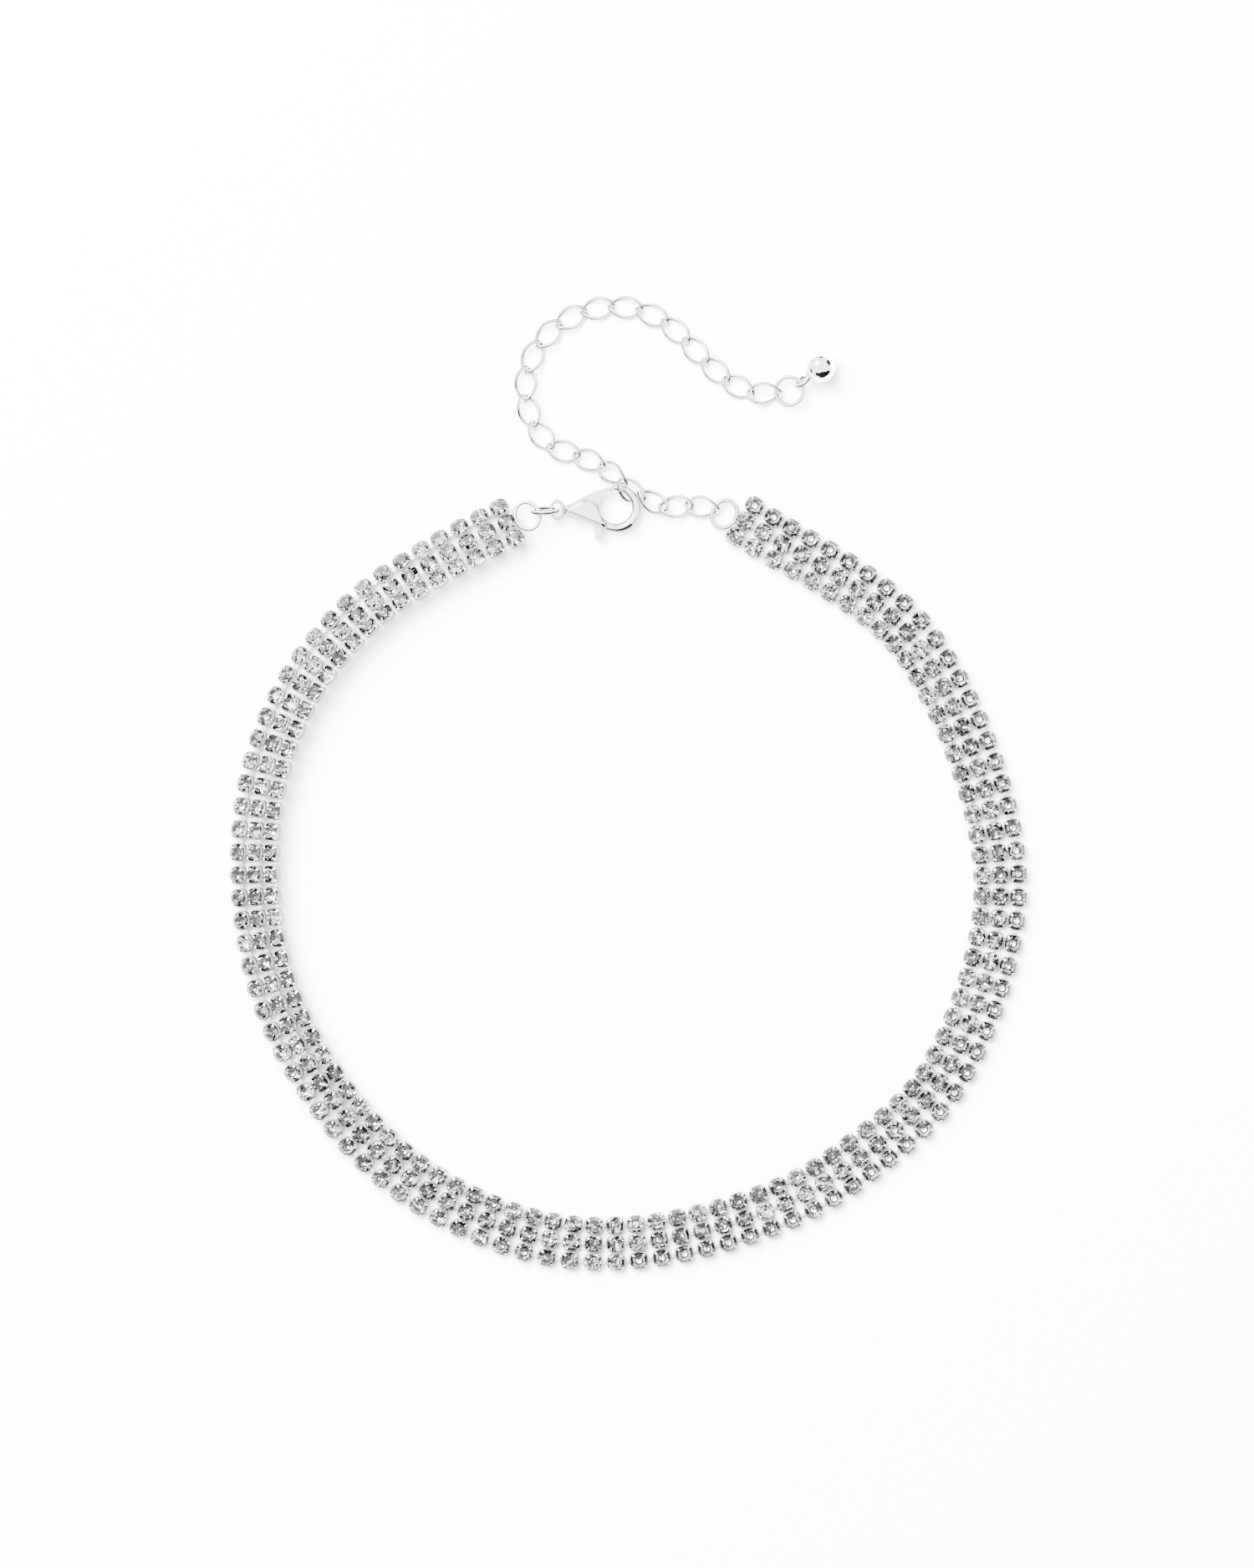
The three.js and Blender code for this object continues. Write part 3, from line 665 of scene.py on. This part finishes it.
def paintSideShade(cast):
    # painted shade: as on the wires, the colour is bright on top and darker down the steep sides
    tones = cast.attributes.new("tone", "FLOAT_COLOR", "POINT").data
    side = clasp["side"]
    for vert, tone in zip(cast.vertices, tones):
        share = (abs(vert.normal.z) - side["steep"]) / (side["flat"] - side["steep"])
        level = side["dimmest"] + (1 - side["dimmest"]) * min(1, max(0, share))
        tone.color = (level, level, level, 1)


def domeHook(cast):
    # the hook's wire is rounded off to both sides of its middle line
    hook, back = clasp["hook"], claspSeat.inverted()
    for vert in cast.vertices:
        place = back @ (vert.co / millimetre)
        turn = math.degrees(math.atan2(place.y, place.x))
        outer = hook["outer"] + Vector(hook["offset"]).dot(place.xy.normalized())
        aside = abs(2 * place.xy.length - hook["inner"] - outer) / (outer - hook["inner"])
        if aside < hook["past"] and hook["from"] < turn < hook["to"]:
            ease = min(1, min(turn - hook["from"], hook["to"] - turn) / hook["ease"])
            place.z *= 1 - hook["dome"] * ease * min(1, aside) ** 2
            vert.co = claspSeat @ place * millimetre


def paintReflectionLines(cast):
    # painted reflections: darker lines along the hook's outer edge and at the top of the opening
    back = claspSeat.inverted()
    for vert, tone in zip(cast.vertices, cast.attributes["tone"].data):
        place = back @ (vert.co / millimetre)
        turn, reach = math.degrees(math.atan2(place.y, place.x)), place.xy.length
        for start, end, nearest, farthest in clasp["paintedReflectionLines"]:
            if start < turn < end and nearest < reach < farthest:
                tone.color = (clasp["seam"]["tone"],) * 3 + (1,)


def darkenSeam(cast):
    # the fine dark joint where the trigger's nose meets the hook's tip
    seam = clasp["seam"]
    heading = math.radians(seam["heading"])
    way = Vector((math.cos(heading), math.sin(heading), 0))
    for vert, tone in zip(cast.vertices, cast.attributes["tone"].data):
        place = vert.co / millimetre
        across = abs((place - Vector((*seam["place"], place.z))).dot(way))
        if across < seam["halfWidth"] and place.y > seam["lowest"]:
            tone.color = (seam["tone"],) * 3 + (1,)


def stretchTail(cast):
    # the trigger's tail reaches a little past the plain solid's
    tail = clasp["tail"]
    for vert in cast.vertices:
        below = tail["from"] - vert.co.y / millimetre
        if below > 0:
            vert.co.y = (tail["from"] - below * tail["stretch"]) * millimetre


bodyRounds, leverRounds = clasp["bodyRounds"], clasp["leverRounds"]
casting = castPiece("clasp_body", "clasp_casting", "necklace", bodyRounds, clasp["eyeletCut"])
domeHook(casting.data)
trigger = castPiece("clasp_lever", "clasp_trigger", "lever", leverRounds)
stretchTail(trigger.data)
for cast in (casting.data, trigger.data):
    paintReflectionLines(cast)
    darkenSeam(cast)
eyelet = wireLoop(*(clasp["eyelet"][key] for key in ("length", "width", "wire")))
eyeletPlace = Matrix.Translation((clasp["eyelet"]["reach"], clasp["eyelet"]["rise"], 0))
bmesh.ops.transform(eyelet, matrix=claspSeat @ eyeletPlace, verts=eyelet.verts)
finishPiece("clasp_eyelet", eyelet, [wireSilver], "necklace", [])
print("clasp ready")

# Rings and ball at the chain's two ends
jumpRing = {"outer": 4.15, "wire": 0.55, "turn": 3, "nose": 1, "lean": 104.2}
dropRing = {"outer": 4.5, "wire": 0.55, "turn": 10.8, "nose": 7.5, "lean": 0}
ball = {
    "diameter": 4.4,
    "segments": 48,
    "rings": 28,
    "turn": 37,
    "loopOuter": 2.6,
    "loopWire": 0.5,
    "loopLean": 27,
    "loopSink": 0.25,
    "loopShift": -0.3,
    "loopLift": 0.25,
}


def roundRing(node, ring):
    shape = wireLoop(ring["outer"], ring["outer"], ring["wire"])
    seat = placed(middleOf(node), ring["turn"], ring["nose"], ring["lean"])
    bmesh.ops.transform(shape, matrix=seat, verts=shape.verts)
    finishPiece(node + "_wire", shape, [wireSilver], "necklace", [node])


roundRing("jump_ring", jumpRing)
roundRing("drop_ring", dropRing)

ballTurn, loopLean = math.radians(ball["turn"]), math.radians(ball["loopLean"])
towards = Vector((math.cos(ballTurn), math.sin(ballTurn), 0))
loopRadius = (ball["loopOuter"] - ball["loopWire"]) / 2
loopHeight = loopRadius * math.cos(loopLean) + ball["loopWire"] / 2 + ball["loopLift"]
dropRadius = (dropRing["outer"] - dropRing["wire"]) / 2
loopCentre = middleOf("drop_ring") + towards * (dropRadius - ball["loopShift"])
loopCentre.z = loopHeight
radius = ball["diameter"] / 2
apart = radius + ball["loopOuter"] / 2 - ball["loopSink"]
ballCentre = loopCentre + towards * math.sqrt(apart ** 2 - (radius - loopHeight) ** 2)
ballCentre.z = radius
drop = wireLoop(ball["loopOuter"], ball["loopOuter"], ball["loopWire"])
loopSeat = placed(loopCentre, ball["turn"], 0, 90 + ball["loopLean"])
bmesh.ops.transform(drop, matrix=loopSeat, verts=drop.verts)
sphere = bmesh.ops.create_uvsphere(
    drop, u_segments=ball["segments"], v_segments=ball["rings"], radius=radius,
    matrix=Matrix.Translation(ballCentre),
)["verts"]
paint(sphere, drop.verts.layers.float_color["tone"], 1)
finishPiece("ball_end", drop, [wireSilver], "necklace", ["ball_drop"])
print("rings and ball ready")

# Table, light and camera, in metres
studio = {
    "tableSize": 3.0,
    "tableDrop": 0.00002,  # keeps the paper just clear of the cups' floors
    "tableRough": 0.9,
    "tableColour": (0.97, 0.97, 0.97, 1),
    "roomLight": 4.6,
    # things round the table, which the metal and stones mirror: heading, height, half width, level
    "cards": (
        (-112, 30, 14, 0.006), (-72, 26, 27, 0.006), (-38, 16, 18, 0.006), (30, 14, 16, 0.006),
        (143, 3, 7, 0.006), (-160, 8, 12, 0.006), (85, 8, 10, 0.006), (128, 52, 15, 3.2),
    ),
    "cardEdge": 3,  # degrees in which a card fades out
    "keyPower": 210,
    "keySize": 1.0,
    "keyPlace": (-0.45, 0.5, 0.9),
    "cameraHeight": 1.2,  # above the stones
    "stoneHeight": 0.001,
    "cameraAside": (-0.00018, -0.00006),
    "frameWidth": 0.177,
    "sensor": 36,
    "farthest": 10,
}

tableTop = bmesh.new()
bmesh.ops.create_grid(tableTop, x_segments=1, y_segments=1, size=studio["tableSize"] / 2)
tableMesh = bpy.data.meshes.new("table")
tableTop.to_mesh(tableMesh)
tableTop.free()
paper, paperNodes, _ = newFinish("pale paper")
paperNodes["Principled BSDF"].inputs["Base Color"].default_value = studio["tableColour"]
paperNodes["Principled BSDF"].inputs["Roughness"].default_value = studio["tableRough"]
tableMesh.materials.append(paper)
table = bpy.data.objects.new("table", tableMesh)
bpy.context.collection.objects.link(table)
table.location.z = -studio["tableDrop"]

room = bpy.data.worlds.new("white studio")
room.use_nodes = True
roomNodes, roomLinks = room.node_tree.nodes, room.node_tree.links
direction = roomNodes.new("ShaderNodeTexCoord")
shade = None
for heading, height, spread, level in studio["cards"]:
    flat, rise = math.cos(math.radians(height)), math.sin(math.radians(height))
    turn = math.radians(heading)
    facing = roomNodes.new("ShaderNodeVectorMath")
    facing.operation = "DOT_PRODUCT"
    facing.inputs[1].default_value = (flat * math.cos(turn), flat * math.sin(turn), rise)
    roomLinks.new(direction.outputs["Generated"], facing.inputs[0])
    card = roomNodes.new("ShaderNodeMapRange")
    card.inputs["From Min"].default_value = math.cos(math.radians(spread + studio["cardEdge"]))
    card.inputs["From Max"].default_value = math.cos(math.radians(spread))
    card.inputs["To Min"].default_value = 1
    card.inputs["To Max"].default_value = level
    roomLinks.new(facing.outputs["Value"], card.inputs["Value"])
    if shade is None:
        shade = card.outputs["Result"]
        continue
    both = roomNodes.new("ShaderNodeMath")
    both.operation = "MULTIPLY"
    roomLinks.new(shade, both.inputs[0])
    roomLinks.new(card.outputs["Result"], both.inputs[1])
    shade = both.outputs["Value"]
roomLinks.new(shade, roomNodes["Background"].inputs["Color"])
roomNodes["Background"].inputs["Strength"].default_value = studio["roomLight"]
bpy.context.scene.world = room

softBox = bpy.data.lights.new("soft box", "AREA")
softBox.energy = studio["keyPower"]
softBox.size = studio["keySize"]
key = bpy.data.objects.new("soft box", softBox)
key.location = studio["keyPlace"]
key.visible_glossy = False
key.rotation_euler = (-Vector(studio["keyPlace"])).to_track_quat("-Z", "Y").to_euler()
bpy.context.collection.objects.link(key)

lens = bpy.data.cameras.new("camera")
lens.sensor_fit = "HORIZONTAL"
lens.sensor_width = studio["sensor"]
lens.lens = studio["sensor"] * studio["cameraHeight"] / studio["frameWidth"]
lens.clip_end = studio["farthest"]
camera = bpy.data.objects.new("camera", lens)
camera.location = (*studio["cameraAside"], studio["cameraHeight"] + studio["stoneHeight"])
bpy.context.collection.objects.link(camera)
bpy.context.scene.camera = camera
print("studio ready")
